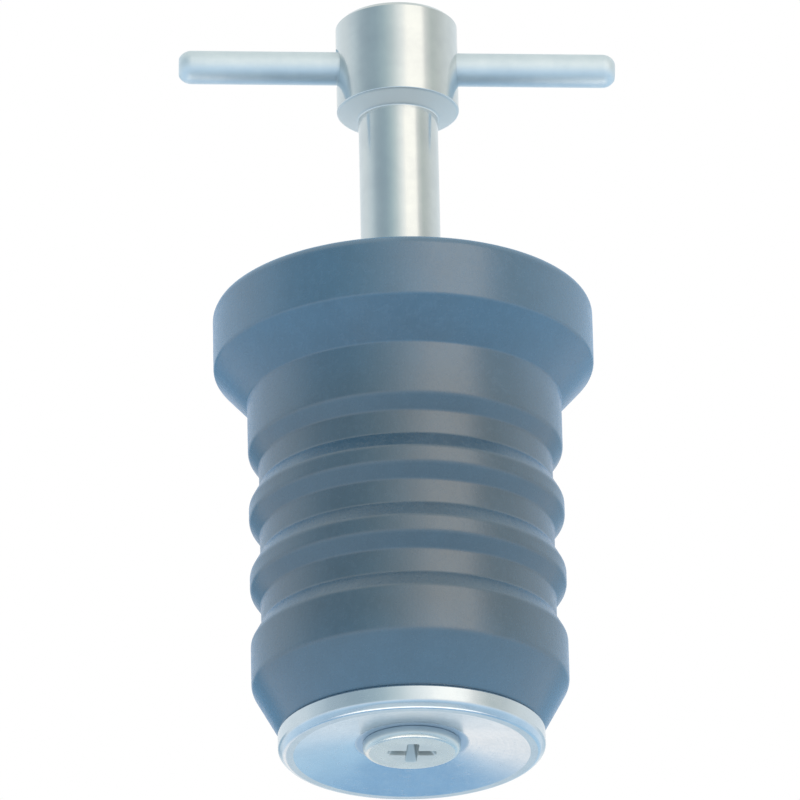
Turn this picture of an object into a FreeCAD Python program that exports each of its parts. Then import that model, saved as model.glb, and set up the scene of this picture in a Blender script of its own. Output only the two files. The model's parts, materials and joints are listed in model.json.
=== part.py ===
import FreeCAD, Part
import math
import os
import re

import Sketcher

# Expanding drain plug for a boat: a ribbed rubber bung on a draw screw, with a T-handle that is the nut.
# The origin is on the plug's axis, on the circle where the flange's conical seat runs into the barrel.
# +Z points up to the handle, +X lies along the cross bar, and all sizes are in millimetres.

SIZES = {
    # rubber bung
    "barrel_radius": 12.5,
    "flange_radius": 15.15,
    "flange_rim_height": 5.1,
    "seat_cone_height": 3.0,
    "flange_top_round": 0.9,
    "flange_lower_round": 0.5,
    "plain_band_height": 4.0,
    "groove_depth": 0.85,
    "rib_underside_height": 1.65,
    "groove_flat_height": 1.6,
    "rib_topside_height": 1.85,
    "crest_flat_height": 0.74,
    "crest_round": 0.8,
    "groove_round": 0.5,
    "groove_count": 3,
    "lower_band_height": 3.32,
    "foot_taper_height": 3.9,
    "foot_radius": 10.35,
    "lower_band_round": 1.2,
    "bung_bore_gap": 0.3,
    # end plate under the bung
    "plate_radius": 10.5,
    "plate_thickness": 1.85,
    "plate_rim_width": 1.2,
    "plate_dish_depth": 0.95,
    "plate_seat_width": 0.6,
    "plate_upper_bevel": 0.2,
    "plate_lower_bevel": 0.45,
    "washer_hole_gap": 0.15,
    # thrust washer on the bung
    "thrust_radius": 7.0,
    "thrust_thickness": 1.2,
    "thrust_edge_bevel": 0.25,
    # draw screw
    "screw_radius": 2.0,
    "screw_tip_chamfer": 0.4,
    "head_radius": 3.85,
    "head_height": 0.85,
    "head_round": 0.55,
    "recess_reach": 1.95,
    "recess_width": 0.95,
    "recess_depth": 1.4,
    "recess_floor_reach": 1.0,
    "recess_floor_width": 0.65,
    "thread_engagement": 6.8,
    "draw_travel": 2.8,
    "thread_gap": 0.05,
    # T-handle
    "nut_bore_spare": 1.6,
    "nut_bore_lead": 0.5,
    "drill_point_height": 1.2,
    "shank_radius": 3.2,
    "shank_length": 15.5,
    "shank_end_chamfer": 0.35,
    "shoulder_drop": 0.7,
    "hub_radius": 4.92,
    "hub_height": 7.7,
    "hub_top_chamfer": 0.35,
    "bar_radius": 1.35,
    "bar_length": 35.2,
    "bar_end_dome": 1.0,
    "bar_tip_radius": 0.75,
    "bar_hole_chamfer": 0.2,
}

RULES = {
    "flange_top": "flange_rim_height + seat_cone_height",
    "rib_pitch": "rib_underside_height + groove_flat_height + rib_topside_height + crest_flat_height",
    "lower_band_top": "plain_band_height + groove_count * rib_pitch - crest_flat_height",
    "lower_band_bottom": "lower_band_top + lower_band_height",
    "foot_depth": "lower_band_bottom + foot_taper_height",
    "bung_bore_radius": "screw_radius + bung_bore_gap",
    "washer_hole_radius": "screw_radius + washer_hole_gap",
    "plate_dish_radius": "plate_radius - plate_rim_width",
    "plate_seat_radius": "head_radius + plate_seat_width",
    "plate_seat_depth": "plate_thickness - plate_dish_depth",
    "head_seat_depth": "foot_depth + plate_seat_depth",
    "thrust_top": "flange_top + thrust_thickness",
    "screw_length": "head_seat_depth + thrust_top + thread_engagement",
    "nut_bore_radius": "screw_radius + thread_gap",
    "nut_bore_depth": "thread_engagement + draw_travel + nut_bore_spare",
    "hub_base": "shank_length + shoulder_drop",
    "stem_height": "hub_base + hub_height",
    "bar_height": "thrust_top + hub_base + hub_height / 2",
}

FULL_TURN = 2 * math.pi
TOLERANCE = 1e-4


def fill_sheet(document):
    """The driving sizes are plain numbers, and the other sizes are worked out from them."""
    sheet = document.addObject("Spreadsheet::Sheet", "sizes")
    cells = [(alias, str(number)) for alias, number in SIZES.items()]
    cells += [(alias, "=" + rule) for alias, rule in RULES.items()]
    for row, (alias, content) in enumerate(cells, start=1):
        sheet.set("A%d" % row, alias)
        sheet.set("B%d" % row, content)
        sheet.setAlias("B%d" % row, alias)
    document.recompute()
    return sheet


def from_sheet(rule):
    """The rule with each size's name pointed at the sheet."""
    return re.sub(r"[a-z]+(_[a-z]+)+", lambda name: "sizes." + name.group(), rule)


def value(owner, rule):
    """What a rule comes to now."""
    return float(owner.evalExpression(from_sheet(rule)))


def origin_part(body, role):
    """One of the body's own origin planes or axes."""
    return next(part for part in body.Origin.OriginFeatures if part.Role == role)


def new_body(document, name, height_rule=None):
    """An empty sub-part whose own zero is at that height on the plug's axis."""
    body = document.addObject("PartDesign::Body", name)
    body.Label = name
    if height_rule:
        body.setExpression("Placement.Base.z", from_sheet(height_rule))
    return body


def new_sketch(body, name, role):
    """An empty sketch on one of the body's own origin planes."""
    sketch = body.newObject("Sketcher::SketchObject", name)
    sketch.AttachmentSupport = [(origin_part(body, role), "")]
    sketch.MapMode = "FlatFace"
    return sketch


class Outline:
    """A closed outline drawn corner by corner, with each corner held by rules of the sheet."""

    def __init__(self, sketch, across, up):
        self.sketch = sketch
        self.here = (across, up)
        self.first = None
        self.last = None

    def spot(self, rules):
        return FreeCAD.Vector(value(self.sketch, rules[0]), value(self.sketch, rules[1]), 0)

    def bind(self, constraint, rule):
        """Adds a constraint whose size follows the rule."""
        index = self.sketch.addConstraint(constraint)
        self.sketch.setExpression("Constraints[%d]" % index, from_sheet(rule))

    def hold(self, edge, end, rules):
        """Holds one end of an edge at the place that the two rules give."""
        spot = self.spot(rules)
        for kind, axis, number, rule in (
            ("DistanceX", -2, spot.x, rules[0]),
            ("DistanceY", -1, spot.y, rules[1]),
        ):
            if rule == "0":
                self.sketch.addConstraint(Sketcher.Constraint("PointOnObject", edge, end, axis))
            else:
                self.bind(Sketcher.Constraint(kind, -1, 1, edge, end, number), rule)

    def join(self, edge, end):
        """Ties the start of a new edge to the end of the last one, or holds the first start."""
        if self.last is None:
            self.first = (edge, end)
            self.hold(edge, end, self.here)
        else:
            self.sketch.addConstraint(Sketcher.Constraint("Coincident", *self.last, edge, end))

    def line(self, across, up):
        """A straight edge to the next corner."""
        edge = self.sketch.addGeometry(Part.LineSegment(self.spot(self.here), self.spot((across, up))))
        self.join(edge, 1)
        self.hold(edge, 2, (across, up))
        self.last = (edge, 2)
        self.here = (across, up)

    def arc(self, centre, start, end):
        """An arc of under half a turn as a new edge, with the numbers of its start and end."""
        begin = math.atan2(start.y - centre.y, start.x - centre.x)
        turn = math.atan2(end.y - centre.y, end.x - centre.x) - begin
        turn = (turn + math.pi) % FULL_TURN - math.pi
        circle = Part.Circle(centre, FreeCAD.Vector(0, 0, 1), start.distanceToPoint(centre))
        limits = sorted((begin, begin + turn))
        edge = self.sketch.addGeometry(Part.ArcOfCircle(circle, *limits))
        return (edge, 1, 2) if turn > 0 else (edge, 2, 1)

    def level_arc(self, across, up):
        """An arc to the next corner that leaves its start along the axis across the sketch."""
        start = self.spot(self.here)
        end = self.spot((across, up))
        width = end.x - start.x
        rise = end.y - start.y
        radius = (width**2 + rise**2) / (2 * rise)
        edge, begin, finish = self.arc(start + FreeCAD.Vector(0, radius, 0), start, end)
        self.join(edge, begin)
        self.sketch.addConstraint(Sketcher.Constraint("Vertical", edge, 3, edge, begin))
        self.hold(edge, finish, (across, up))
        self.last = (edge, finish)
        self.here = (across, up)

    def flank(self, across, up, first_rule, second_rule):
        """A flank of a rib, upright at both ends: an arc, a straight stretch and an arc, all tangent."""
        start = self.spot(self.here)
        end = self.spot((across, up))
        first_radius = value(self.sketch, first_rule)
        second_radius = value(self.sketch, second_rule)
        inward = math.copysign(1, end.x - start.x)
        onward = math.copysign(1, end.y - start.y)
        first_centre = start + FreeCAD.Vector(inward * first_radius, 0, 0)
        second_centre = end - FreeCAD.Vector(inward * second_radius, 0, 0)
        between = second_centre - first_centre
        both_radii = first_radius + second_radius
        straight = math.sqrt(between.Length**2 - both_radii**2)
        slope = math.atan2(inward * between.x, onward * between.y) + math.atan2(both_radii, straight)
        outward = FreeCAD.Vector(-inward * math.cos(slope), onward * math.sin(slope), 0)
        bends = [first_centre + outward * first_radius, second_centre - outward * second_radius]
        first_edge, first_begin, first_finish = self.arc(first_centre, start, bends[0])
        middle_edge = self.sketch.addGeometry(Part.LineSegment(*bends))
        second_edge, second_begin, second_finish = self.arc(second_centre, bends[1], end)
        self.join(first_edge, first_begin)
        self.sketch.addConstraint(
            [
                Sketcher.Constraint("Tangent", first_edge, first_finish, middle_edge, 1),
                Sketcher.Constraint("Tangent", middle_edge, 2, second_edge, second_begin),
                Sketcher.Constraint("Horizontal", first_edge, 3, first_edge, first_begin),
                Sketcher.Constraint("Horizontal", second_edge, 3, second_edge, second_finish),
            ]
        )
        self.bind(Sketcher.Constraint("Radius", first_edge, first_radius), first_rule)
        self.bind(Sketcher.Constraint("Radius", second_edge, second_radius), second_rule)
        self.hold(second_edge, second_finish, (across, up))
        self.last = (second_edge, second_finish)
        self.here = (across, up)

    def close(self):
        """A straight edge back to the first corner."""
        ends = [self.sketch.getPoint(*self.last), self.sketch.getPoint(*self.first)]
        edge = self.sketch.addGeometry(Part.LineSegment(*ends))
        self.sketch.addConstraint(Sketcher.Constraint("Coincident", *self.last, edge, 1))
        self.sketch.addConstraint(Sketcher.Constraint("Coincident", edge, 2, *self.first))


def revolve(body, sketch, name, axis="V_Axis"):
    """A full turn of a half-section."""
    solid = body.newObject("PartDesign::Revolution", name)
    solid.Profile = sketch
    solid.ReferenceAxis = (sketch, [axis])
    solid.Angle = 360
    sketch.Visibility = False
    body.Document.recompute()
    return solid


def ring_edges(feature, radius_rule, height_rule):
    """The names of the round edges of that radius at that height in the body's own frame."""
    radius = value(feature, radius_rule)
    height = value(feature, height_rule)
    names = []
    for number, edge in enumerate(feature.Shape.Edges, start=1):
        curve = edge.Curve
        if not isinstance(curve, Part.Circle):
            continue
        if abs(curve.Radius - radius) < TOLERANCE and abs(curve.Center.z - height) < TOLERANCE:
            names.append("Edge%d" % number)
    if not names:
        raise RuntimeError("no round edge at %s, %s" % (radius_rule, height_rule))
    return names


def dress(body, kind, name, edges, size_property, size_rule):
    """A fillet or a chamfer on the named edges of the body's last feature."""
    base = body.Tip
    feature = body.newObject("PartDesign::" + kind, name)
    feature.Base = (base, edges)
    feature.setExpression(size_property, from_sheet(size_rule))
    body.Document.recompute()
    return feature


def round_ring(body, name, radius_rule, height_rule, size_rule):
    edges = ring_edges(body.Tip, radius_rule, height_rule)
    return dress(body, "Fillet", name, edges, "Radius", size_rule)


def bevel_ring(body, name, radius_rule, height_rule, size_rule):
    edges = ring_edges(body.Tip, radius_rule, height_rule)
    return dress(body, "Chamfer", name, edges, "Size", size_rule)


def make_rubber_bung(document, sheet):
    """One moulding: flange, conical seat, barrel with rounded ribs, tapered foot and a through bore."""
    body = new_body(document, "rubber_bung")
    sketch = new_sketch(body, "bung_half_section", "XZ_Plane")
    outline = Outline(sketch, "bung_bore_radius", "flange_top")
    outline.line("flange_radius", "flange_top")
    outline.line("flange_radius", "seat_cone_height")
    outline.line("barrel_radius", "0")
    groove_radius = "barrel_radius - groove_depth"
    for number in range(int(sheet.groove_count)):
        crest = "-plain_band_height - %d * rib_pitch" % number
        groove_top = crest + " - rib_underside_height"
        groove_foot = groove_top + " - groove_flat_height"
        outline.line("barrel_radius", crest)
        outline.flank(groove_radius, groove_top, "crest_round", "groove_round")
        outline.line(groove_radius, groove_foot)
        outline.flank("barrel_radius", groove_foot + " - rib_topside_height", "groove_round", "crest_round")
    outline.line("barrel_radius", "-lower_band_bottom")
    outline.line("foot_radius", "-foot_depth")
    outline.line("bung_bore_radius", "-foot_depth")
    outline.close()
    revolve(body, sketch, "bung_moulding")
    round_ring(body, "flange_top_edge", "flange_radius", "flange_top", "flange_top_round")
    round_ring(body, "flange_lower_edge", "flange_radius", "seat_cone_height", "flange_lower_round")
    round_ring(body, "lower_band_edge", "barrel_radius", "-lower_band_bottom", "lower_band_round")
    return body


def make_end_washer(document):
    """Plate under the bung, dished on its lower face so that the screw's head lies in it."""
    body = new_body(document, "end_washer", "-foot_depth")
    sketch = new_sketch(body, "plate_half_section", "XZ_Plane")
    outline = Outline(sketch, "washer_hole_radius", "0")
    outline.line("washer_hole_radius", "-plate_seat_depth")
    outline.line("plate_seat_radius", "-plate_seat_depth")
    outline.line("plate_dish_radius", "-plate_thickness")
    outline.line("plate_radius", "-plate_thickness")
    outline.line("plate_radius", "0")
    outline.close()
    revolve(body, sketch, "plate_turning")
    bevel_ring(body, "plate_lower_edge", "plate_radius", "-plate_thickness", "plate_lower_bevel")
    bevel_ring(body, "plate_upper_edge", "plate_radius", "0", "plate_upper_bevel")
    return body


def make_thrust_washer(document):
    """Washer between the turning handle and the rubber."""
    body = new_body(document, "thrust_washer", "flange_top")
    sketch = new_sketch(body, "thrust_half_section", "XZ_Plane")
    outline = Outline(sketch, "washer_hole_radius", "0")
    outline.line("thrust_radius", "0")
    outline.line("thrust_radius", "thrust_thickness")
    outline.line("washer_hole_radius", "thrust_thickness")
    outline.close()
    revolve(body, sketch, "thrust_turning")
    bevel_ring(body, "thrust_upper_edge", "thrust_radius", "thrust_thickness", "thrust_edge_bevel")
    return body


def draw_wing(body, name, reach_rule, width_rule, height_rule):
    """The outline of one slot of the cross recess at one height."""
    sketch = new_sketch(body, name, "XY_Plane")
    sketch.setExpression("AttachmentOffset.Base.z", from_sheet(height_rule))
    half_width = "%s / 2" % width_rule
    outline = Outline(sketch, reach_rule, "-" + half_width)
    outline.line(reach_rule, half_width)
    outline.line("-" + reach_rule, half_width)
    outline.line("-" + reach_rule, "-" + half_width)
    outline.close()
    sketch.Visibility = False
    return sketch


def make_draw_screw(document):
    """Screw that hangs from the handle, with a low rounded head and a tapered cross recess."""
    body = new_body(document, "draw_screw", "-head_seat_depth")
    sketch = new_sketch(body, "screw_half_section", "XZ_Plane")
    outline = Outline(sketch, "0", "-head_height")
    outline.line("head_radius", "-head_height")
    outline.line("head_radius", "0")
    outline.line("screw_radius", "0")
    outline.line("screw_radius", "screw_length")
    outline.line("0", "screw_length")
    outline.close()
    revolve(body, sketch, "screw_blank")
    round_ring(body, "head_edge", "head_radius", "-head_height", "head_round")
    bevel_ring(body, "screw_tip", "screw_radius", "screw_length", "screw_tip_chamfer")
    mouth = draw_wing(body, "recess_mouth", "recess_reach", "recess_width", "-head_height")
    floor = draw_wing(
        body, "recess_floor", "recess_floor_reach", "recess_floor_width", "recess_depth - head_height"
    )
    slot = body.newObject("PartDesign::SubtractiveLoft", "recess_slot")
    slot.Profile = mouth
    slot.Sections = [floor]
    slot.Ruled = True
    document.recompute()
    cross = body.newObject("PartDesign::PolarPattern", "cross_recess")
    cross.Originals = [slot]
    cross.Axis = (mouth, ["N_Axis"])
    cross.Angle = 90
    cross.Occurrences = 2
    body.Tip = cross
    document.recompute()
    return body


def make_handle_stem(document):
    """Turned stem: a hub for the cross bar, a shallow shoulder, and a shank with the blind threaded bore."""
    body = new_body(document, "handle_stem", "thrust_top")
    sketch = new_sketch(body, "stem_half_section", "XZ_Plane")
    outline = Outline(sketch, "nut_bore_radius", "0")
    outline.line("shank_radius", "0")
    outline.line("shank_radius", "shank_length")
    outline.line("hub_radius", "hub_base")
    outline.line("hub_radius", "stem_height")
    outline.line("0", "stem_height")
    outline.line("0", "nut_bore_depth + drill_point_height")
    outline.line("nut_bore_radius", "nut_bore_depth")
    outline.close()
    revolve(body, sketch, "stem_turning")
    bevel_ring(body, "hub_top_edge", "hub_radius", "stem_height", "hub_top_chamfer")
    bevel_ring(body, "shank_end", "shank_radius", "0", "shank_end_chamfer")
    bevel_ring(body, "bore_lead_in", "nut_bore_radius", "0", "nut_bore_lead")
    circle_sketch = new_sketch(body, "bar_hole_circle", "YZ_Plane")
    bar_rise = "hub_base + hub_height / 2"
    centre = FreeCAD.Vector(0, value(body, bar_rise), 0)
    circle = circle_sketch.addGeometry(
        Part.Circle(centre, FreeCAD.Vector(0, 0, 1), value(body, "bar_radius"))
    )
    outline = Outline(circle_sketch, "0", bar_rise)
    outline.hold(circle, 3, ("0", bar_rise))
    outline.bind(Sketcher.Constraint("Radius", circle, value(body, "bar_radius")), "bar_radius")
    hole = body.newObject("PartDesign::Pocket", "bar_hole")
    hole.Profile = circle_sketch
    hole.Type = "ThroughAll"
    hole.Midplane = True
    circle_sketch.Visibility = False
    document.recompute()
    mouths = [
        "Edge%d" % number
        for number, edge in enumerate(hole.Shape.Edges, start=1)
        if not isinstance(edge.Curve, (Part.Circle, Part.Line))
    ]
    dress(body, "Chamfer", "bar_hole_mouths", mouths, "Size", "bar_hole_chamfer")
    return body


def make_cross_bar(document):
    """Round bar pressed through the hub, with domed ends: one half is turned and mirrored."""
    body = new_body(document, "cross_bar", "bar_height")
    sketch = new_sketch(body, "bar_half_section", "XZ_Plane")
    outline = Outline(sketch, "0", "0")
    outline.line("0", "bar_radius")
    outline.line("bar_length / 2 - bar_end_dome", "bar_radius")
    outline.level_arc("bar_length / 2", "bar_tip_radius")
    outline.line("bar_length / 2", "0")
    outline.close()
    half = revolve(body, sketch, "bar_turning", "H_Axis")
    whole = body.newObject("PartDesign::Mirrored", "bar_both_ends")
    whole.Originals = [half]
    whole.MirrorPlane = (origin_part(body, "YZ_Plane"), [""])
    body.Tip = whole
    document.recompute()
    return body


def check_document(document, bodies):
    """Stops if an object failed or a sub-part isn't one valid solid."""
    for item in document.Objects:
        if "Invalid" in item.State or "Error" in item.State:
            raise RuntimeError("%s is %s" % (item.Name, item.State))
    for body in bodies:
        shape = body.Shape
        if shape.isNull() or not shape.isValid() or len(shape.Solids) != 1:
            raise RuntimeError("%s isn't one valid solid" % body.Label)


def main():
    document = FreeCAD.newDocument("drain_plug")
    sheet = fill_sheet(document)
    bodies = [
        make_rubber_bung(document, sheet),
        make_end_washer(document),
        make_thrust_washer(document),
        make_draw_screw(document),
        make_handle_stem(document),
        make_cross_bar(document),
    ]
    document.recompute()
    check_document(document, bodies)
    os.makedirs("parts", exist_ok=True)
    for body in bodies:
        body.Shape.exportStep("parts/%s.step" % body.Label)


main()
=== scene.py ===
import json
import math

import bmesh
import bpy
from mathutils import Matrix, Vector


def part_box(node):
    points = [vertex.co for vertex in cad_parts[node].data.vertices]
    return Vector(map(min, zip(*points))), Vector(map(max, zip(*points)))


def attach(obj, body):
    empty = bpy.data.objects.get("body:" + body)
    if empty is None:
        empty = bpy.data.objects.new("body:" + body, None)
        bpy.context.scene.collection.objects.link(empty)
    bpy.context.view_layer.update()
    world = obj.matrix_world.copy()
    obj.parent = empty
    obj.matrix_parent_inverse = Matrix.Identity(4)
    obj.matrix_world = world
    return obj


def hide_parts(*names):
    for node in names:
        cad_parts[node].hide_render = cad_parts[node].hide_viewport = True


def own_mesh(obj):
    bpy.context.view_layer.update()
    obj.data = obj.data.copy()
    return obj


# Looks of an expanding drain plug for a boat: ribbed rubber bung, end washer, draw screw and T-handle.
# Sections are drawn in millimetres as (across, up) from the plug's axis, and the meshes are in metres.

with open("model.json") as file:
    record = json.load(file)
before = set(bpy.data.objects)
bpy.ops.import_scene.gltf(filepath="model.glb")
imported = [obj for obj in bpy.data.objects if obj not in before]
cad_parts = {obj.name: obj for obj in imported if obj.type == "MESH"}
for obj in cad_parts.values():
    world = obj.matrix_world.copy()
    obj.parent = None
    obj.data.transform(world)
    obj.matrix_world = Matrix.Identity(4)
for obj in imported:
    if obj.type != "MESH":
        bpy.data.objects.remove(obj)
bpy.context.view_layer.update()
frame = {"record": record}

# A millimetre in metres, and how far inside the box of its solid a surface keeps, in millimetres
MM = 0.001
HAIR = 0.0005
FULL_TURN = 2 * math.pi


def turned_size(node):
    """Radius, lowest and highest height of a turned node, in millimetres, a hair inside its box."""
    low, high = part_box(node)
    return high.y / MM - HAIR, low.z / MM + HAIR, high.z / MM - HAIR


FLANGE_RADIUS, FOOT_HEIGHT, FLANGE_TOP = turned_size("rubber_bung")
PLATE_RADIUS, PLATE_LOWER, PLATE_UPPER = turned_size("end_washer")
THRUST_RADIUS, THRUST_LOWER, THRUST_UPPER = turned_size("thrust_washer")
HEAD_RADIUS, HEAD_LOWER, SCREW_TOP = turned_size("draw_screw")
HUB_RADIUS, STEM_LOWER, STEM_UPPER = turned_size("handle_stem")
BAR_RADIUS, BAR_LOWER, BAR_UPPER = turned_size("cross_bar")
BAR_HEIGHT = (BAR_LOWER + BAR_UPPER) / 2
BAR_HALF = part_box("cross_bar")[1].x / MM - HAIR
DRAIN_TUBE = frame["record"]["mounts"][0]["dims"]
BARREL_RADIUS = DRAIN_TUBE["r_mm"]
PLAIN_BAND = DRAIN_TUBE["length_mm"]

# Rubber bung, in millimetres
BORE_RADIUS = 2.3
BORE_EDGE = 0.2
FLANGE_TOP_ROUND = 0.9
FLANGE_LOWER_ROUND = 0.5
SEAT_HEIGHT = 3.0
SEAT_ROUND = 0.35
GROOVE_DEPTH = 0.85
GROOVE_COUNT = 3
UNDERSIDE_HEIGHT = 1.65
GROOVE_FLAT = 1.6
TOPSIDE_HEIGHT = 1.85
CREST_FLAT = 0.74
CREST_ROUND = 0.8
GROOVE_ROUND = 0.5
LOWER_BAND_HEIGHT = 3.32
LOWER_BAND_ROUND = 1.2
FOOT_RADIUS = 10.35
FOOT_ROUND = 0.3
UNEVENNESS = 0.06
END_TONE_MIDDLE = -13.5
END_TONE_START = 8.0
END_TONE_FULL = 16.0

# Metal pieces, in millimetres
WASHER_BORE = 2.15
PLATE_RIM = 1.2
PLATE_DISH = 0.95
PLATE_SEAT_RADIUS = 4.45
PLATE_UPPER_BEVEL = 0.2
PLATE_LOWER_BEVEL = 0.45
PLATE_EDGE_ROUND = 0.5
THRUST_BEVEL = 0.25
SCREW_RADIUS = 2.0
HEAD_HEIGHT = 0.85
HEAD_ROUND = 0.5
TIP_BEVEL = 0.4
THREAD_PITCH = 0.7
THREAD_DEPTH = 0.4
THREAD_LENGTH = 14.0
THREAD_STEP = THREAD_PITCH / 8
THREAD_WITHIN_RADIUS = 2.5
RECESS_REACH = 1.95
RECESS_WIDTH = 0.95
RECESS_DEPTH = 1.4
RECESS_FLOOR_REACH = 1.0
RECESS_FLOOR_WIDTH = 0.65
RECESS_CORNER = 0.22
RECESS_INNER_CORNER = 0.05
RECESS_CUTTER_EXCESS = 0.2
SHANK_RADIUS = 3.2
SHANK_LENGTH = 15.5
SHANK_BEVEL = 0.35
SHOULDER_DROP = 0.7
SHOULDER_ROUND = 0.15
HUB_BEVEL = 0.35
HUB_EDGE_ROUND = 0.12
NUT_RADIUS = 2.05
NUT_DEPTH = 11.2
NUT_LEAD = 0.5
NUT_THREAD_DEPTH = 0.2
DRILL_POINT = 1.2
BAR_DOME = 1.0
BAR_TIP_RADIUS = 0.75
BAR_TIP_ROUND = 0.12
SINK_START = 4.6
HOLE_CUTTER_EXCESS = 1.0
EDGE_ROUND = 0.06

# Rubber's tones, the roughness between which it varies, and the middle stretch of a noise that is used
RUBBER_TONES = ((0.027, 0.066, 0.098), (0.035, 0.082, 0.122))
RUBBER_END_TONES = ((0.036, 0.114, 0.188), (0.044, 0.135, 0.222))
RUBBER_ROUGHNESS = (0.20, 0.31)
NOISE_MIDDLE = (0.35, 0.65)
SPECK_MIDDLE = (0.3, 0.7)
CLOUD_MIDDLE = (0.35, 0.68)

# Marks on the surfaces: cells to a metre along and from the axis, to a radian round it, and on the
# bar's three axes, then depths in millimetres
MARK_SCALE = 9000.0
MARK_TURN_SCALE = 1.5
BAR_MARK_SCALE = (8000.0, 350.0, 350.0)
MARK_DEPTH = 0.0016
GRAIN_DEPTH = 0.04

# Places on the steel where shading is painted, in millimetres: painted shade on the screw's head, in
# its recess and on the washer's seat round it, and painted light under the hub. By distance from the
# axis: where the painted tone starts to fade and where it ends. By height above the part's own edge:
# its start, full, full and end.
RECESS_SHADE_REACH = (2.3, 2.6)
FACE_SHADE_REACH = (1.5, 2.5)
SEAT_SHADE_REACH = (4.25, 4.6)
RECESS_SHADE_RISES = (0.02, 0.1, 1.5, 2.0)
SIDE_SHADE_RISES = (0.2, 0.4, 1.5, 2.0)
SHOULDER_LIGHT_RISES = (-0.1, 0.1, 0.6, 0.75)
PLATE_SHADE_MARGIN = 1.0
HEAD_SHADE_SHARE = 0.35
FACE_SHADE_SHARE = 0.16

# Facets round a turned piece, and the longest steps along its section in millimetres
RUBBER_FACETS = 240
WASHER_FACETS = 192
SCREW_FACETS = 128
STEM_FACETS = 256
BAR_FACETS = 128
BAR_HOLE_FACETS = 96
RUBBER_STEP = 0.45
WASHER_STEP = 0.4
STEEL_STEP = 0.3
ARC_STEP = 0.12
ARC_TURN = math.radians(9)
LONG_RUN = 0.4
RUN_END = 0.03
SAME_PLACE = 1e-5

# Turning: metres for the merge, cells to a metre for the unevenness
MERGE_DISTANCE = 2e-6
UNEVEN_SCALE = 160.0
UNEVEN_TOP = 0.7
UNEVEN_SEED = 3.0
SHARP_ANGLE = math.radians(24)

# The photograph's camera, lens in millimetres, angles in degrees
CAMERA_TARGET = Vector((-0.0003379, 0.0, 0.0003281))
CAMERA_DISTANCE = 0.75
CAMERA_ELEVATION = -23.2027
CAMERA_AZIMUTH = -4.2
CAMERA_ROLL = -1.2487
CAMERA_LENS = 424.6

# Studio tones, at azimuths from the camera and at heights below the level, in degrees
AZIMUTH_TONES = [
    (-180, (0.84, 0.92, 0.97)),
    (-150, (0.84, 0.92, 0.97)),
    (-112, (0.80, 0.88, 0.92)),
    (-90, (0.66, 0.77, 0.83)),
    (-70, (0.43, 0.54, 0.61)),
    (-55, (0.37, 0.48, 0.55)),
    (-40, (0.37, 0.49, 0.56)),
    (-24, (0.47, 0.60, 0.65)),
    (-8, (0.68, 0.78, 0.80)),
    (8, (1.06, 1.10, 1.08)),
    (24, (1.27, 1.25, 1.19)),
    (42, (1.27, 1.21, 1.15)),
    (56, (0.84, 0.86, 0.84)),
    (70, (0.60, 0.66, 0.64)),
    (83, (0.64, 0.69, 0.68)),
    (110, (0.80, 0.86, 0.87)),
    (148, (0.84, 0.91, 0.95)),
    (180, (0.84, 0.92, 0.97)),
]
HEIGHT_TONES = [
    (-90, (0.48, 0.60, 0.72)),
    (-65, (0.38, 0.52, 0.65)),
    (-43, (0.50, 0.70, 0.88)),
    (-23, (0.64, 0.83, 1.00)),
    (0, (0.90, 0.96, 1.00)),
]
OVERHEAD_TONE = (0.77, 0.83, 0.82)
TONE_LIMIT = 1.3

# Where those tones pass into each other, and how far from straight behind the plug the white that
# metal shows starts and is full, in degrees
OVERHEAD_HEIGHTS = (40, 58)
UNDER_HEIGHTS = (-12, 2)
WHITE_EDGE = (20, 12)

# Glowing panels: azimuth, elevation, width and height in metres, softness, colour, strength
PANEL_DISTANCE = 1.3
PANELS = {
    "key_panel": (34.0, 24.0, (0.9, 1.2), 0.35, (1.0, 0.975, 0.91), 1.4),
    "back_panel": (-168.0, -18.0, (0.62, 0.7), 0.5, (1.0, 0.98, 0.97), 1.1),
    "pale_blue_panel": (163.0, -27.0, (0.8, 0.8), 0.6, (0.46, 0.71, 0.92), 1.0),
    "grey_panel": (180.0, -23.0, (0.28, 0.3), 0.4, (0.60, 0.71, 0.77), 1.0),
    "blue_panel": (180.0, -45.0, (1.0, 0.54), 0.5, (0.25, 0.48, 0.74), 1.0),
    "under_panel": (180.0, -75.0, (1.3, 0.62), 0.4, (1.0, 0.98, 0.96), 2.0),
    "left_shade_panel": (-146.0, 3.0, (0.9, 0.56), 0.5, (0.34, 0.50, 0.62), 1.0),
    "right_shade_panel": (146.0, 3.0, (0.9, 0.56), 0.5, (0.52, 0.68, 0.80), 1.0),
}

# Floor, in metres
FLOOR_WIDTH = 1.4
FLOOR_HEIGHT = -1.45
FLOOR_TONES = ((0.80, 0.87, 0.93), (0.82, 0.89, 0.95))


# Sections

def arc_points(centre, radius, start, turn):
    """Points along an arc, in millimetres, with both ends."""
    count = max(2, math.ceil(abs(turn) * radius / ARC_STEP), math.ceil(abs(turn) / ARC_TURN))
    angles = [start + turn * number / count for number in range(count + 1)]
    return [(centre[0] + radius * math.cos(a), centre[1] + radius * math.sin(a)) for a in angles]


def rounded(corners):
    """Points of an outline through corners (across, up, round), each corner rounded as an arc."""
    points = []
    for number, (across, up, size) in enumerate(corners):
        corner = Vector((across, up))
        if not size:
            points.append(tuple(corner))
            continue
        before = (Vector(corners[number - 1][:2]) - corner).normalized()
        after = (Vector(corners[(number + 1) % len(corners)][:2]) - corner).normalized()
        half = before.angle(after) / 2
        centre = corner + (before + after).normalized() * size / math.sin(half)
        first = corner + before * size / math.tan(half) - centre
        last = corner + after * size / math.tan(half) - centre
        start = math.atan2(first.y, first.x)
        turn = math.atan2(last.y, last.x) - start
        turn = (turn + math.pi) % FULL_TURN - math.pi
        points += arc_points(centre, size, start, turn)
    return points


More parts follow.
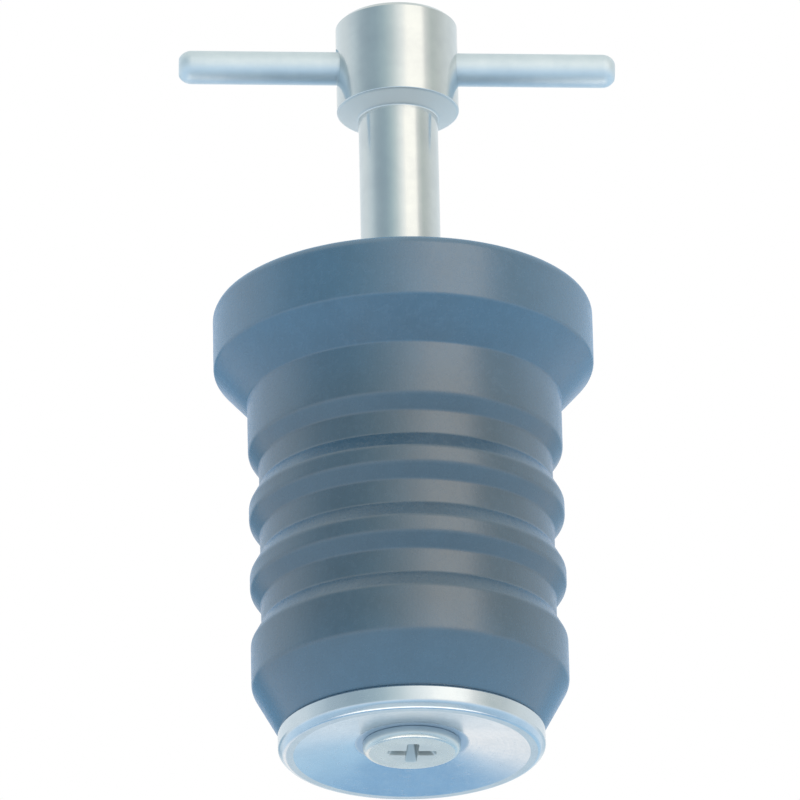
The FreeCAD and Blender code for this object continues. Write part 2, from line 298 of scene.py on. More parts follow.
def flank(start, end, first_round, second_round):
    """Points down a rib's flank, upright at both ends: an arc, a straight stretch and an arc."""
    inward = math.copysign(1, end[0] - start[0])
    rounds = first_round + second_round
    gap = abs(end[0] - start[0]) - rounds
    down = start[1] - end[1]
    straight = math.sqrt(gap**2 + down**2 - rounds**2)
    turn = inward * (math.atan2(gap, down) + math.atan2(rounds, straight))
    upright = math.pi if inward > 0 else 0.0
    first_centre = (start[0] + inward * first_round, start[1])
    second_centre = (end[0] - inward * second_round, end[1])
    first = arc_points(first_centre, first_round, upright, turn)
    return first + arc_points(second_centre, second_round, math.pi - upright + turn, -turn)


def filled(points, step):
    """The same outline with its long straight runs divided, and a point close to each end of them."""
    out = [points[0]]
    for start, end in zip(points, points[1:]):
        run = Vector(end) - Vector(start)
        length = run.length
        if length < SAME_PLACE:
            continue
        count = math.ceil(length / step)
        shares = [number / count for number in range(1, count + 1)]
        if length > LONG_RUN:
            shares = sorted([*shares, RUN_END / length, 1 - RUN_END / length])
        out += [tuple(Vector(start).lerp(Vector(end), share)) for share in shares]
    return out


# Node trees

def add(tree, kind, inputs=None, **settings):
    """A node with its settings made, and its inputs set to a value or linked to another's output."""
    node = tree.nodes.new(kind)
    for name, setting in settings.items():
        setattr(node, name, setting)
    for key, source in (inputs or {}).items():
        if isinstance(source, bpy.types.NodeSocket):
            tree.links.new(source, node.inputs[key])
        else:
            node.inputs[key].default_value = source
    return node


def maths(tree, operation, *numbers):
    """The result of a Math node on numbers or other nodes' outputs."""
    return add(tree, "ShaderNodeMath", dict(enumerate(numbers)), operation=operation).outputs[0]


TURNING_INPUTS = {
    "Section": "NodeSocketGeometry",
    "Facets": "NodeSocketInt",
    "Thread Depth": "NodeSocketFloat",
    "Thread Pitch": "NodeSocketFloat",
    "Thread Low": "NodeSocketFloat",
    "Thread High": "NodeSocketFloat",
    "Thread Reach": "NodeSocketFloat",
    "Unevenness": "NodeSocketFloat",
    "Seed": "NodeSocketFloat",
    "Finish": "NodeSocketMaterial",
}


def make_turning_tree():
    """A half-section is turned about the upright axis, with a thread cut in one stretch where asked."""
    tree = bpy.data.node_groups.new("turned_piece", "GeometryNodeTree")
    for name, kind in TURNING_INPUTS.items():
        tree.interface.new_socket(name, in_out="INPUT", socket_type=kind)
    tree.interface.new_socket("Piece", in_out="OUTPUT", socket_type="NodeSocketGeometry")
    given = add(tree, "NodeGroupInput").outputs
    section = given["Section"]
    rows = add(tree, "GeometryNodeAttributeDomainSize", {0: section}, component="MESH").outputs[0]
    columns = maths(tree, "ADD", given["Facets"], 1)
    grid = add(tree, "GeometryNodeMeshGrid", {"Vertices X": columns, "Vertices Y": rows}).outputs[0]

    # Place of each grid point: its row picks a point of the section, its column the turn
    number = add(tree, "GeometryNodeInputIndex").outputs[0]
    row = maths(tree, "FLOORED_MODULO", number, rows)
    column = maths(tree, "FLOOR", maths(tree, "DIVIDE", maths(tree, "ADD", number, 0.5), rows))
    turn = maths(tree, "DIVIDE", column, given["Facets"])
    angle = maths(tree, "MULTIPLY", turn, FULL_TURN)
    sample = add(tree, "GeometryNodeSampleIndex", data_type="FLOAT_VECTOR", clamp=True)
    place = add(tree, "GeometryNodeInputPosition").outputs[0]
    tree.links.new(section, sample.inputs["Geometry"])
    tree.links.new(place, sample.inputs["Value"])
    tree.links.new(row, sample.inputs["Index"])
    across, _, up = add(tree, "ShaderNodeSeparateXYZ", {0: sample.outputs[0]}).outputs

    # Right-hand thread: a triangle wave that climbs one pitch a turn
    climb = maths(tree, "SUBTRACT", maths(tree, "DIVIDE", up, given["Thread Pitch"]), turn)
    wave = maths(tree, "MULTIPLY", maths(tree, "PINGPONG", climb, 0.5), 2.0)
    above = maths(tree, "GREATER_THAN", up, given["Thread Low"])
    below = maths(tree, "LESS_THAN", up, given["Thread High"])
    within = maths(tree, "LESS_THAN", across, given["Thread Reach"])
    place_share = maths(tree, "MULTIPLY", maths(tree, "MULTIPLY", above, below), within)
    cut = maths(tree, "MULTIPLY", place_share, given["Thread Depth"])
    radius = maths(tree, "SUBTRACT", across, maths(tree, "MULTIPLY", wave, cut))

    # Slight unevenness of a moulded surface, always inward
    side = maths(tree, "COSINE", angle)
    depth = maths(tree, "SINE", angle)
    ring = add(tree, "ShaderNodeCombineXYZ", {0: side, 1: depth, 2: 0.0}).outputs[0]
    out = add(tree, "ShaderNodeVectorMath", {0: ring, 3: radius}, operation="SCALE").outputs[0]
    lift = add(tree, "ShaderNodeCombineXYZ", {0: 0.0, 1: 0.0, 2: up}).outputs[0]
    spot = add(tree, "ShaderNodeVectorMath", {0: out, 1: lift}, operation="ADD").outputs[0]
    noise_inputs = {"Vector": spot, "W": given["Seed"], "Scale": UNEVEN_SCALE, "Detail": 2.0}
    noise = add(tree, "ShaderNodeTexNoise", noise_inputs, noise_dimensions="4D").outputs[0]
    low = maths(tree, "MINIMUM", maths(tree, "SUBTRACT", noise, UNEVEN_TOP), 0.0)
    swing = maths(tree, "MULTIPLY", low, given["Unevenness"])
    drift = add(tree, "ShaderNodeVectorMath", {0: ring, 3: swing}, operation="SCALE").outputs[0]
    final = add(tree, "ShaderNodeVectorMath", {0: spot, 1: drift}, operation="ADD").outputs[0]

    placed = add(tree, "GeometryNodeSetPosition", {"Geometry": grid, "Position": final}).outputs[0]
    merging = {"Geometry": placed, "Distance": MERGE_DISTANCE}
    closed = add(tree, "GeometryNodeMergeByDistance", merging).outputs[0]
    real = add(tree, "GeometryNodeRealizeInstances", {0: closed}).outputs[0]
    finish = {"Geometry": real, "Material": given["Finish"]}
    add(tree, "NodeGroupOutput", {0: add(tree, "GeometryNodeSetMaterial", finish).outputs[0]})
    return tree


def turn_piece(name, section, finish, facets, **more):
    """An object made by turning a section; the modifier's result is kept as a plain mesh."""
    mesh = bpy.data.meshes.new(name)
    points = [(across * MM, 0.0, up * MM) for across, up in section]
    mesh.from_pydata(points, [(number, number + 1) for number in range(len(points) - 1)], [])
    piece = bpy.data.objects.new(name, mesh)
    bpy.context.collection.objects.link(piece)
    modifier = piece.modifiers.new("turned", "NODES")
    modifier.node_group = turning_tree
    values = {
        "Facets": facets,
        "Finish": finish,
        "Seed": UNEVEN_SEED,
        "Thread Pitch": THREAD_PITCH * MM,
        "Thread Reach": THREAD_WITHIN_RADIUS * MM,
        **more,
    }
    for socket in turning_tree.interface.items_tree:
        if socket.name in values:
            modifier[socket.identifier] = values[socket.name]
    keep_result(piece)
    return piece


def keep_result(piece):
    """The evaluated mesh replaces the piece's own, without modifiers, faces outward and smooth."""
    graph = bpy.context.evaluated_depsgraph_get()
    mesh = bpy.data.meshes.new_from_object(piece.evaluated_get(graph))
    mesh.name = piece.name
    piece.modifiers.clear()
    piece.data = mesh
    shape = bmesh.new()
    shape.from_mesh(mesh)
    bmesh.ops.recalc_face_normals(shape, faces=shape.faces)
    shape.to_mesh(mesh)
    shape.free()
    mesh.shade_smooth()
    mesh.set_sharp_from_angle(angle=SHARP_ANGLE)


def cut_away(piece, cutter):
    """The cutter's shape is taken out of the piece, and the cutter goes."""
    modifier = piece.modifiers.new("cut", "BOOLEAN")
    modifier.operation = "DIFFERENCE"
    modifier.solver = "EXACT"
    modifier.object = cutter
    keep_result(piece)
    bpy.data.objects.remove(cutter)


# Materials

def new_material(name):
    """An empty node material with a Principled shader, its tree and its shader."""
    material = bpy.data.materials.new(name)
    material.use_nodes = True
    tree = material.node_tree
    return material, tree, tree.nodes["Principled BSDF"]


def object_place(tree):
    """Object coordinates, in metres."""
    return add(tree, "ShaderNodeTexCoord").outputs["Object"]


def parts_of(tree, vector):
    """The three parts of a vector."""
    return add(tree, "ShaderNodeSeparateXYZ", {0: vector}).outputs


def noise_of(tree, vector, scale, detail, roughness=0.5):
    """A noise texture's height on some coordinates."""
    inputs = {"Vector": vector, "Scale": scale, "Detail": detail, "Roughness": roughness}
    return add(tree, "ShaderNodeTexNoise", inputs).outputs[0]


def ranged(tree, value, low, high, to_low, to_high):
    """A value moved from one range to another, clamped."""
    inputs = {0: value, 1: low, 2: high, 3: to_low, 4: to_high}
    return add(tree, "ShaderNodeMapRange", inputs).outputs[0]


def colour_between(tree, share, first, second):
    """A colour mixed by a share from two tones or other nodes' outputs."""
    first, second = ((*end, 1.0) if isinstance(end, tuple) else end for end in (first, second))
    return add(tree, "ShaderNodeMix", {0: share, 6: first, 7: second}, data_type="RGBA").outputs[2]


def weighed(tree, first, first_weight, second, second_weight):
    """The sum of two values, each multiplied by its weight."""
    first_part = maths(tree, "MULTIPLY", first, first_weight)
    return maths(tree, "ADD", first_part, maths(tree, "MULTIPLY", second, second_weight))


def make_rubber():
    """Blue-grey moulded rubber: satin, faintly mottled, bluer at both ends, with a soft sheen."""
    material, tree, shader = new_material("blue_grey_rubber")
    place = object_place(tree)
    mottle = noise_of(tree, place, scale=420.0, detail=4.0, roughness=0.6)
    grain = noise_of(tree, place, scale=5200.0, detail=3.0, roughness=0.6)
    specks = noise_of(tree, place, scale=2100.0, detail=2.0)
    blend = weighed(tree, mottle, 0.7, specks, 0.3)
    share = ranged(tree, blend, *NOISE_MIDDLE, 0.0, 1.0)
    middle = colour_between(tree, share, *RUBBER_TONES)
    ends = colour_between(tree, share, *RUBBER_END_TONES)
    from_middle = maths(tree, "SUBTRACT", parts_of(tree, place)[2], END_TONE_MIDDLE * MM)
    away = maths(tree, "ABSOLUTE", from_middle)
    toward_end = ranged(tree, away, END_TONE_START * MM, END_TONE_FULL * MM, 0.0, 1.0)
    tree.links.new(colour_between(tree, toward_end, middle, ends), shader.inputs["Base Color"])
    rough = ranged(tree, specks, *SPECK_MIDDLE, *RUBBER_ROUGHNESS)
    tree.links.new(rough, shader.inputs["Roughness"])
    grained = {"Strength": 0.25, "Distance": GRAIN_DEPTH * MM, "Height": grain}
    bump = add(tree, "ShaderNodeBump", grained)
    tree.links.new(bump.outputs[0], shader.inputs["Normal"])
    shader.inputs["IOR"].default_value = 1.8
    shader.inputs["Specular IOR Level"].default_value = 0.88
    shader.inputs["Sheen Weight"].default_value = 0.36
    shader.inputs["Sheen Roughness"].default_value = 0.45
    shader.inputs["Sheen Tint"].default_value = (0.08, 0.5, 1.0, 1.0)
    return material


def finish_steel(name, marks, tint, dull, gloss, painted_shading=None):
    """Polished stainless steel, with fine marks on the given coordinates and, where asked, one place of
    painted shading.

    Gloss is the roughness between which the steel varies. The painted shading is a function that gives
    its place, then its tone, painted shade or painted light, and the roughness that it adds.
    """
    material, tree, shader = new_material(name)
    lines = noise_of(tree, marks(tree), scale=1.0, detail=3.0, roughness=0.65)
    cloud = noise_of(tree, object_place(tree), scale=520.0, detail=3.0, roughness=0.55)
    scuffs = noise_of(tree, object_place(tree), scale=2600.0, detail=2.0)
    share = ranged(tree, cloud, *CLOUD_MIDDLE, 0.0, 1.0)
    tone = colour_between(tree, share, tint, dull)
    wear = weighed(tree, lines, 0.55, scuffs, 0.45)
    rough = ranged(tree, wear, *NOISE_MIDDLE, *gloss)
    # Painted shading: a tone mixed in at one place that stands in for shade or light, with roughness
    # added there.
    if painted_shading:
        find_place, shading_tone, shading_roughness = painted_shading
        place = find_place(tree)
        tone = colour_between(tree, place, tone, shading_tone)
        rough = maths(tree, "ADD", rough, maths(tree, "MULTIPLY", place, shading_roughness))
    tree.links.new(tone, shader.inputs["Base Color"])
    tree.links.new(rough, shader.inputs["Roughness"])
    marked = {"Strength": 0.5, "Distance": MARK_DEPTH * MM, "Height": lines}
    bump = add(tree, "ShaderNodeBump", marked)
    tree.links.new(bump.outputs[0], shader.inputs["Normal"])
    shader.inputs["Metallic"].default_value = 1.0
    return material


def marks_round_axis(tree):
    """Coordinates for marks that run round the plug's axis, by height and by distance from it."""
    across, deep, up = parts_of(tree, object_place(tree))
    square = weighed(tree, across, across, deep, deep)
    reach = maths(tree, "MULTIPLY", maths(tree, "SQRT", square), MARK_SCALE)
    turn = maths(tree, "MULTIPLY", maths(tree, "ARCTAN2", deep, across), MARK_TURN_SCALE)
    height = maths(tree, "MULTIPLY", up, MARK_SCALE)
    return add(tree, "ShaderNodeCombineXYZ", {0: reach, 1: turn, 2: height}).outputs[0]


def marks_round_bar(tree):
    """Coordinates for marks that run round the cross bar."""
    inputs = {"Vector": object_place(tree), "Scale": BAR_MARK_SCALE}
    return add(tree, "ShaderNodeMapping", inputs).outputs[0]


def between_heights(tree, base, rises):
    """A share that grows between the first two heights over a base and shrinks between the last two."""
    up = parts_of(tree, object_place(tree))[2]
    low, full, top, end = ((base + rise) * MM for rise in rises)
    growing = ranged(tree, up, low, full, 0.0, 1.0)
    return maths(tree, "MULTIPLY", growing, ranged(tree, up, top, end, 1.0, 0.0))


def shoulder_painted_light_place(tree):
    """Share of the hub's underside, which is satin and painted a brighter, warmer tone: painted light.
    """
    return between_heights(tree, STEM_LOWER + SHANK_LENGTH, SHOULDER_LIGHT_RISES)


def reach_from_axis(tree):
    """Distance from the plug's axis, in metres."""
    flattened = {0: object_place(tree), 1: (1.0, 1.0, 0.0)}
    flat = add(tree, "ShaderNodeVectorMath", flattened, operation="MULTIPLY").outputs[0]
    return add(tree, "ShaderNodeVectorMath", {0: flat}, operation="LENGTH").outputs["Value"]


def within_reach(tree, reach, ends, most):
    """A share that falls from its most to nothing between two distances from the axis."""
    return ranged(tree, reach, ends[0] * MM, ends[1] * MM, most, 0.0)


def head_painted_shade_place(tree):
    """Share of painted shade: in the cross recess, on the head's side and, less, on the face round the
    recess.
    """
    reach = reach_from_axis(tree)
    side_height = between_heights(tree, HEAD_LOWER, SIDE_SHADE_RISES)
    side = maths(tree, "MULTIPLY", side_height, HEAD_SHADE_SHARE)
    recess_height = between_heights(tree, HEAD_LOWER, RECESS_SHADE_RISES)
    recess_reach = within_reach(tree, reach, RECESS_SHADE_REACH, HEAD_SHADE_SHARE)
    recess = maths(tree, "MULTIPLY", recess_height, recess_reach)
    face = within_reach(tree, reach, FACE_SHADE_REACH, FACE_SHADE_SHARE)
    return maths(tree, "MAXIMUM", maths(tree, "MAXIMUM", recess, face), side)


def seat_ring_painted_shade_place(tree):
    """Share of painted shade on the ring where the screw's head sits on the end washer."""
    ring = within_reach(tree, reach_from_axis(tree), SEAT_SHADE_REACH, 1.0)
    thickness = PLATE_UPPER - PLATE_LOWER
    rises = (-PLATE_SHADE_MARGIN, 0.0, thickness, thickness + PLATE_SHADE_MARGIN)
    return maths(tree, "MULTIPLY", ring, between_heights(tree, PLATE_LOWER, rises))


def make_stem_steel():
    """Turned and polished steel of the handle's stem, satin under the hub and painted brighter and
    warmer there as painted light.
    """
    return finish_steel(
        "turned_stem_steel", marks_round_axis,
        tint=(0.71, 0.73, 0.72), dull=(0.66, 0.68, 0.68), gloss=(0.13, 0.22),
        # Painted light under the hub: a brighter, warmer tone, with more roughness.
        painted_shading=(shoulder_painted_light_place, (0.99, 0.95, 0.90), 0.55),
    )


def make_bar_steel():
    """Polished steel of the cross bar."""
    return finish_steel(
        "polished_bar_steel", marks_round_bar,
        tint=(0.80, 0.85, 0.87), dull=(0.74, 0.80, 0.83), gloss=(0.48, 0.56),
    )


def make_washer_steel():
    """Turned steel of the two washers, with rings on their faces and painted shade round the screw's
    seat.
    """
    return finish_steel(
        "ringed_washer_steel", marks_round_axis,
        tint=(0.72, 0.76, 0.79), dull=(0.66, 0.71, 0.75), gloss=(0.18, 0.28),
        # Painted shade round the screw's seat: a darker, bluer tone.
        painted_shading=(seat_ring_painted_shade_place, (0.46, 0.56, 0.66), 0.15),
    )


def make_screw_steel():
    """Bright steel of the draw screw, with painted shade on its head's side, in its recess and faintly
    round it.
    """
    return finish_steel(
        "draw_screw_steel", marks_round_axis,
        tint=(0.80, 0.80, 0.76), dull=(0.72, 0.73, 0.70), gloss=(0.24, 0.34),
        # Painted shade on the head and in its recess: a dark grey tone.
        painted_shading=(head_painted_shade_place, (0.38, 0.42, 0.45), 0.2),
    )


# Pieces

def make_rubber_bung():
    """The rubber moulding, with its flange, seat, ribs, foot and bore."""
    pitch = UNDERSIDE_HEIGHT + GROOVE_FLAT + TOPSIDE_HEIGHT + CREST_FLAT
    section = rounded([
        (BORE_RADIUS, 0.0, 0.0),
        (BORE_RADIUS, FLANGE_TOP, BORE_EDGE),
        (FLANGE_RADIUS, FLANGE_TOP, FLANGE_TOP_ROUND),
        (FLANGE_RADIUS, SEAT_HEIGHT, FLANGE_LOWER_ROUND),
        (BARREL_RADIUS, 0.0, SEAT_ROUND),
        (BARREL_RADIUS, -PLAIN_BAND, 0.0),
    ])
    for number in range(GROOVE_COUNT):
        crest = -PLAIN_BAND - number * pitch
        groove = (BARREL_RADIUS - GROOVE_DEPTH, crest - UNDERSIDE_HEIGHT)
        groove_foot = (groove[0], groove[1] - GROOVE_FLAT)
        next_crest = (BARREL_RADIUS, groove_foot[1] - TOPSIDE_HEIGHT)
        section += flank((BARREL_RADIUS, crest), groove, CREST_ROUND, GROOVE_ROUND)
        section += flank(groove_foot, next_crest, GROOVE_ROUND, CREST_ROUND)
    lower_crest = next_crest[1]
    section += rounded([
        (BARREL_RADIUS, lower_crest, 0.0),
        (BARREL_RADIUS, lower_crest - LOWER_BAND_HEIGHT, LOWER_BAND_ROUND),
        (FOOT_RADIUS, FOOT_HEIGHT, FOOT_ROUND),
        (BORE_RADIUS, FOOT_HEIGHT, BORE_EDGE),
        (BORE_RADIUS, 0.0, 0.0),
    ])
    section = filled(section, RUBBER_STEP)
    piece = turn_piece(
        "rubber_bung_moulding", section, make_rubber(), RUBBER_FACETS, Unevenness=UNEVENNESS * MM
    )
    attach(piece, "bung")
    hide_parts("rubber_bung")
    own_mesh(piece)


def make_washer(name, body, node, corners):
    """A turned washer from its half-section."""
    section = filled(rounded(corners + corners[:1]), WASHER_STEP)
    piece = turn_piece(name, section, washer_steel, WASHER_FACETS)
    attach(piece, body)
    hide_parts(node)


def make_end_washer():
    """The thick washer under the rubber, with a dished lower face."""
    dish = PLATE_LOWER + PLATE_DISH
    make_washer("end_washer_plate", "draw", "end_washer", [
        (WASHER_BORE, (PLATE_UPPER + dish) / 2, 0.0),
        (WASHER_BORE, PLATE_UPPER, EDGE_ROUND),
        (PLATE_RADIUS - PLATE_UPPER_BEVEL, PLATE_UPPER, EDGE_ROUND),
        (PLATE_RADIUS, PLATE_UPPER - PLATE_UPPER_BEVEL, EDGE_ROUND),
        (PLATE_RADIUS, PLATE_LOWER + PLATE_LOWER_BEVEL, PLATE_EDGE_ROUND),
        (PLATE_RADIUS - PLATE_LOWER_BEVEL, PLATE_LOWER, PLATE_EDGE_ROUND),
        (PLATE_RADIUS - PLATE_RIM, PLATE_LOWER, EDGE_ROUND * 2),
        (PLATE_SEAT_RADIUS, dish, EDGE_ROUND),
        (WASHER_BORE, dish, EDGE_ROUND),
    ])


def make_thrust_washer():
    """The washer between the handle and the rubber."""
    make_washer("thrust_washer_ring", "bung", "thrust_washer", [
        (WASHER_BORE, (THRUST_UPPER + THRUST_LOWER) / 2, 0.0),
        (WASHER_BORE, THRUST_UPPER, EDGE_ROUND),
        (THRUST_RADIUS - THRUST_BEVEL, THRUST_UPPER, EDGE_ROUND),
        (THRUST_RADIUS, THRUST_UPPER - THRUST_BEVEL, EDGE_ROUND),
        (THRUST_RADIUS, THRUST_LOWER + THRUST_BEVEL, EDGE_ROUND),
        (THRUST_RADIUS - THRUST_BEVEL, THRUST_LOWER, EDGE_ROUND),
        (WASHER_BORE, THRUST_LOWER, EDGE_ROUND),
    ])


def cross_outline(reach, width, level):
    """Outline of the cross recess at one height, as points in metres."""
    half = width / 2
    arm = [
        (reach, -half, RECESS_CORNER),
        (reach, half, RECESS_CORNER),
        (half, half, RECESS_INNER_CORNER),
    ]
    corners = []
    for quarter in range(4):
        turned = Matrix.Rotation(quarter * math.pi / 2, 2)
        corners += [(*(turned @ Vector(corner[:2])), corner[2]) for corner in arm]
    return [(across * MM, deep * MM, level * MM) for across, deep in rounded(corners)]


def make_recess_cutter(finish):
    """The tapered cross that is cut into the screw's head, from just below its face."""
    slope = RECESS_CUTTER_EXCESS / RECESS_DEPTH
    mouth_reach = RECESS_REACH + (RECESS_REACH - RECESS_FLOOR_REACH) * slope
    mouth_width = RECESS_WIDTH + (RECESS_WIDTH - RECESS_FLOOR_WIDTH) * slope
    mouth = cross_outline(mouth_reach, mouth_width, HEAD_LOWER - RECESS_CUTTER_EXCESS)
    floor = cross_outline(RECESS_FLOOR_REACH, RECESS_FLOOR_WIDTH, HEAD_LOWER + RECESS_DEPTH)
    count = len(mouth)
    walls = [(n, (n + 1) % count, count + (n + 1) % count, count + n) for n in range(count)]
    ends = [tuple(reversed(range(count))), tuple(range(count, 2 * count))]
    mesh = bpy.data.meshes.new("recess_cutter")
    mesh.from_pydata(mouth + floor, [], walls + ends)
    mesh.materials.append(finish)
    cutter = bpy.data.objects.new("recess_cutter", mesh)
    bpy.context.collection.objects.link(cutter)
    return cutter


def make_draw_screw():
    """The screw that hangs from the handle, with its low rounded head, recess and thread."""
    seat = HEAD_LOWER + HEAD_HEIGHT
    thread_start = SCREW_TOP - THREAD_LENGTH
    thread_end = SCREW_TOP - TIP_BEVEL
    head = rounded([
        (0.0, HEAD_LOWER, 0.0),
        (HEAD_RADIUS, HEAD_LOWER, HEAD_ROUND),
        (HEAD_RADIUS, seat, EDGE_ROUND),
        (SCREW_RADIUS, seat, EDGE_ROUND),
        (SCREW_RADIUS, thread_start, 0.0),
    ])
    steps = round((THREAD_LENGTH - TIP_BEVEL) / THREAD_STEP)
    shaft = [(SCREW_RADIUS, thread_start + number * THREAD_STEP) for number in range(1, steps)]
    tip = [(SCREW_RADIUS, thread_end), (SCREW_RADIUS - TIP_BEVEL, SCREW_TOP), (0.0, SCREW_TOP)]
    section = filled(head, STEEL_STEP) + shaft + filled(tip, STEEL_STEP)
    finish = make_screw_steel()
    thread = {
        "Thread Depth": THREAD_DEPTH * MM,
        "Thread Low": thread_start * MM,
        "Thread High": thread_end * MM,
    }
    piece = turn_piece("draw_screw_thread", section, finish, SCREW_FACETS, **thread)
    cut_away(piece, make_recess_cutter(finish))
    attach(piece, "draw")
    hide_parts("draw_screw")


def make_bar_hole_cutter(finish):
    """The cross hole with its sunk edges, laid along the bar."""
    reach = HUB_RADIUS + HOLE_CUTTER_EXCESS
    flare = BAR_RADIUS + reach - SINK_START
    section = [
        (0.0, -reach),
        (flare, -reach),
        (BAR_RADIUS, -SINK_START),
        (BAR_RADIUS, SINK_START),
        (flare, reach),
        (0.0, reach),
    ]
    cutter = turn_piece("bar_hole_cutter", section, finish, BAR_HOLE_FACETS)
    lay_along_bar(cutter)
    return cutter


def lay_along_bar(piece):
    """A piece turned about the upright axis is laid along the bar's."""
    raised = Matrix.Translation((0, 0, BAR_HEIGHT * MM))
    piece.data.transform(raised @ Matrix.Rotation(math.pi / 2, 4, "Y"))


def make_handle_stem():
    """The handle's turned stem: hub with its cross hole, shoulder, shank and blind threaded bore."""
    shank_top = STEM_LOWER + SHANK_LENGTH
    bore_top = STEM_LOWER + NUT_DEPTH
    steps = round((NUT_DEPTH - NUT_LEAD) / THREAD_STEP)
    bore = [(0.0, bore_top + DRILL_POINT)]
    bore += [(NUT_RADIUS, bore_top - number * THREAD_STEP) for number in range(steps)]
    outside = rounded([
        (NUT_RADIUS, STEM_LOWER + NUT_LEAD, 0.0),
        (NUT_RADIUS + NUT_LEAD, STEM_LOWER, EDGE_ROUND),
        (SHANK_RADIUS - SHANK_BEVEL, STEM_LOWER, EDGE_ROUND),
        (SHANK_RADIUS, STEM_LOWER + SHANK_BEVEL, EDGE_ROUND),
        (SHANK_RADIUS, shank_top, SHOULDER_ROUND),
        (HUB_RADIUS, shank_top + SHOULDER_DROP, HUB_EDGE_ROUND),
        (HUB_RADIUS, STEM_UPPER - HUB_BEVEL, HUB_EDGE_ROUND),
        (HUB_RADIUS - HUB_BEVEL, STEM_UPPER, HUB_EDGE_ROUND),
        (0.0, STEM_UPPER, 0.0),
    ])
    section = bore + filled(outside, STEEL_STEP)
    finish = make_stem_steel()
    thread = {
        "Thread Depth": -NUT_THREAD_DEPTH * MM,
        "Thread Low": (STEM_LOWER + NUT_LEAD) * MM,
        "Thread High": bore_top * MM,
    }
    piece = turn_piece("handle_stem_turning", section, finish, STEM_FACETS, **thread)
    cut_away(piece, make_bar_hole_cutter(finish))
    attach(piece, "handle")
    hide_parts("handle_stem")


def make_cross_bar():
    """The plain bar with its domed ends."""
    drop = BAR_RADIUS - BAR_TIP_RADIUS
    spread = (drop**2 + BAR_DOME**2) / (2 * drop)
    turn = math.asin(BAR_DOME / spread)
    dome = arc_points((BAR_RADIUS - spread, BAR_HALF - BAR_DOME), spread, 0.0, turn)
    tip = rounded([(*dome[-2], 0.0), (*dome[-1], BAR_TIP_ROUND), (0.0, BAR_HALF, 0.0)])[1:]
    upper = dome[:-1] + tip
    lower = [(across, -along) for across, along in reversed(upper)]
    section = filled(lower + upper, STEEL_STEP)
    piece = turn_piece("cross_bar_rod", section, make_bar_steel(), BAR_FACETS)
    lay_along_bar(piece)
    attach(piece, "handle")
    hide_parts("cross_bar")


# Studio

def photo_direction(azimuth, elevation):
    """Direction at an azimuth to the right of the photograph's camera and a height, in degrees."""
    turn = math.radians(CAMERA_AZIMUTH + azimuth)
    rise = math.radians(elevation)
    level = math.cos(rise)
    return Vector((math.sin(turn) * level, -math.cos(turn) * level, math.sin(rise)))


def make_camera():
    """The photograph's camera: far off, a little below the plug and slightly rolled."""
    back = photo_direction(0.0, CAMERA_ELEVATION)
    data = bpy.data.cameras.new("photo_camera")
    data.lens = CAMERA_LENS
    data.sensor_width = 36.0
    data.clip_start = 0.01
    data.clip_end = 20.0
    camera = bpy.data.objects.new("photo_camera", data)
    bpy.context.collection.objects.link(camera)
    right = (-back).cross(Vector((0, 0, 1))).normalized()
    up = right.cross(-back)
    turned = Matrix.Rotation(math.radians(CAMERA_AZIMUTH), 3, "Z")
    axes = Matrix((right, up, back)).transposed().to_4x4()
    place = turned @ CAMERA_TARGET + back * CAMERA_DISTANCE
    roll = Matrix.Rotation(math.radians(CAMERA_ROLL), 4, "Z")
    camera.matrix_world = Matrix.Translation(place) @ axes @ roll
    bpy.context.scene.camera = camera


def make_sheet(name, width, height, material):
    """A flat rectangle of the studio, level and about its own middle."""
    shares = [(-0.5, -0.5), (0.5, -0.5), (0.5, 0.5), (-0.5, 0.5)]
    corners = [(across * width, up * height, 0.0) for across, up in shares]
    mesh = bpy.data.meshes.new(name)
    mesh.from_pydata(corners, [], [(0, 1, 2, 3)])
    mesh.materials.append(material)
    sheet = bpy.data.objects.new(name, mesh)
    bpy.context.collection.objects.link(sheet)
    return sheet


def make_panel(name, azimuth, elevation, size, softness, colour, strength):
    """A glowing panel with soft edges that faces the plug and is never seen by the camera itself."""
    material, tree, shader = new_material(name)
    tree.nodes.remove(shader)
    fades = []
    for place, length in zip(parts_of(tree, object_place(tree)), size):
        reach = maths(tree, "DIVIDE", maths(tree, "ABSOLUTE", place), length / 2)
        fades.append(ranged(tree, reach, 1 - softness, 1.0, 1.0, 0.0))
    share = maths(tree, "MULTIPLY", *fades)
    clear = add(tree, "ShaderNodeBsdfTransparent").outputs[0]
    glow = add(tree, "ShaderNodeEmission", {"Color": (*colour, 1.0), "Strength": strength}).outputs[0]
    shown = add(tree, "ShaderNodeMixShader", {0: share, 1: clear, 2: glow}).outputs[0]
    tree.links.new(shown, tree.nodes["Material Output"].inputs[0])
    panel = make_sheet(name, *size, material)
    direction = photo_direction(azimuth, elevation)
    panel.location = direction * PANEL_DISTANCE
    panel.rotation_mode = "QUATERNION"
    panel.rotation_quaternion = direction.to_track_quat("Z", "Y")
    panel.visible_camera = False


def make_floor():
    """A plain pale floor, far below the plug."""
    material, tree, shader = new_material("pale_floor")
    cloud = noise_of(tree, object_place(tree), scale=6.0, detail=2.0)
    tone = colour_between(tree, cloud, *FLOOR_TONES)
    tree.links.new(tone, shader.inputs["Base Color"])
    shader.inputs["Roughness"].default_value = 0.9
    floor = make_sheet("pale_floor", FLOOR_WIDTH, FLOOR_WIDTH, material)
    floor.location = (0, 0, FLOOR_HEIGHT)


def add_ramp(tree, value, low, high, tones):
    """The colour at a value between low and high, from tones given at values of the same kind."""
    ramp = add(tree, "ShaderNodeValToRGB", {0: ranged(tree, value, low, high, 0.0, 1.0)})
    stops = ramp.color_ramp.elements
    stops.remove(stops[1])
    for number, (place, tone) in enumerate(tones):
        share = (place - tones[0][0]) / (tones[-1][0] - tones[0][0])
        stop = stops.new(share) if number else stops[0]
        stop.color = (*[part / TONE_LIMIT for part in tone], 1.0)
    return ramp.outputs[0]


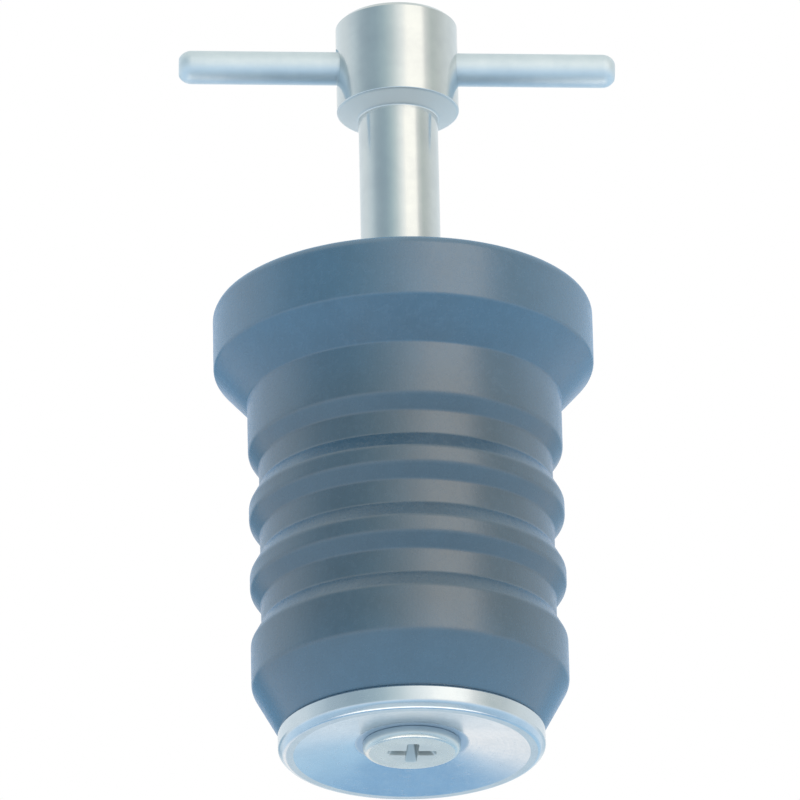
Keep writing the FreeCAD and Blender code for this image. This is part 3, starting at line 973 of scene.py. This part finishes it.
def make_surroundings():
    """A studio of graded tones round the plug, and plain white behind it, which metal shows as well."""
    world = bpy.data.worlds.new("studio")
    bpy.context.scene.world = world
    world.use_nodes = True
    tree = world.node_tree
    tree.nodes.clear()
    look = add(tree, "ShaderNodeTexCoord").outputs["Generated"]
    across, deep, up = parts_of(tree, look)
    azimuth = maths(tree, "ARCTAN2", across, maths(tree, "MULTIPLY", deep, -1.0))
    azimuth = maths(tree, "SUBTRACT", azimuth, math.radians(CAMERA_AZIMUTH))
    azimuth = maths(tree, "WRAP", azimuth, math.pi, -math.pi)
    height = maths(tree, "ARCSINE", up)
    side = add_ramp(tree, azimuth, -math.pi, math.pi, AZIMUTH_TONES)
    under = add_ramp(tree, height, -math.pi / 2, 0.0, HEIGHT_TONES)
    overhead = tuple(part / TONE_LIMIT for part in OVERHEAD_TONE)
    rise = ranged(tree, height, *map(math.radians, OVERHEAD_HEIGHTS), 0.0, 1.0)
    sink = ranged(tree, height, *map(math.radians, UNDER_HEIGHTS), 1.0, 0.0)
    around = colour_between(tree, sink, colour_between(tree, rise, side, overhead), under)
    lit = add(tree, "ShaderNodeBackground", {"Color": around, "Strength": TONE_LIMIT}).outputs[0]
    pure_white = {"Color": (1.0, 1.0, 1.0, 1.0), "Strength": 1.0}
    white = add(tree, "ShaderNodeBackground", pure_white).outputs[0]
    rays = add(tree, "ShaderNodeLightPath").outputs
    compared = {0: look, 1: tuple(-photo_direction(0.0, CAMERA_ELEVATION))}
    facing = add(tree, "ShaderNodeVectorMath", compared, operation="DOT_PRODUCT").outputs["Value"]
    edge = [math.cos(math.radians(angle)) for angle in WHITE_EDGE]
    behind = ranged(tree, facing, *edge, 0.0, 1.0)
    mirrored = maths(tree, "MAXIMUM", rays["Is Glossy Ray"], rays["Is Transmission Ray"])
    seen = maths(tree, "MAXIMUM", rays["Is Camera Ray"], maths(tree, "MULTIPLY", mirrored, behind))
    shown = add(tree, "ShaderNodeMixShader", {0: seen, 1: lit, 2: white}).outputs[0]
    add(tree, "ShaderNodeOutputWorld", {0: shown})


def make_studio():
    """Camera, surroundings, floor and panels."""
    make_camera()
    make_surroundings()
    make_floor()
    for name, settings in PANELS.items():
        make_panel(name, *settings)
    bpy.context.scene.view_settings.view_transform = "Standard"


turning_tree = make_turning_tree()
washer_steel = make_washer_steel()
make_rubber_bung()
make_end_washer()
make_thrust_washer()
make_draw_screw()
make_handle_stem()
make_cross_bar()
make_studio()
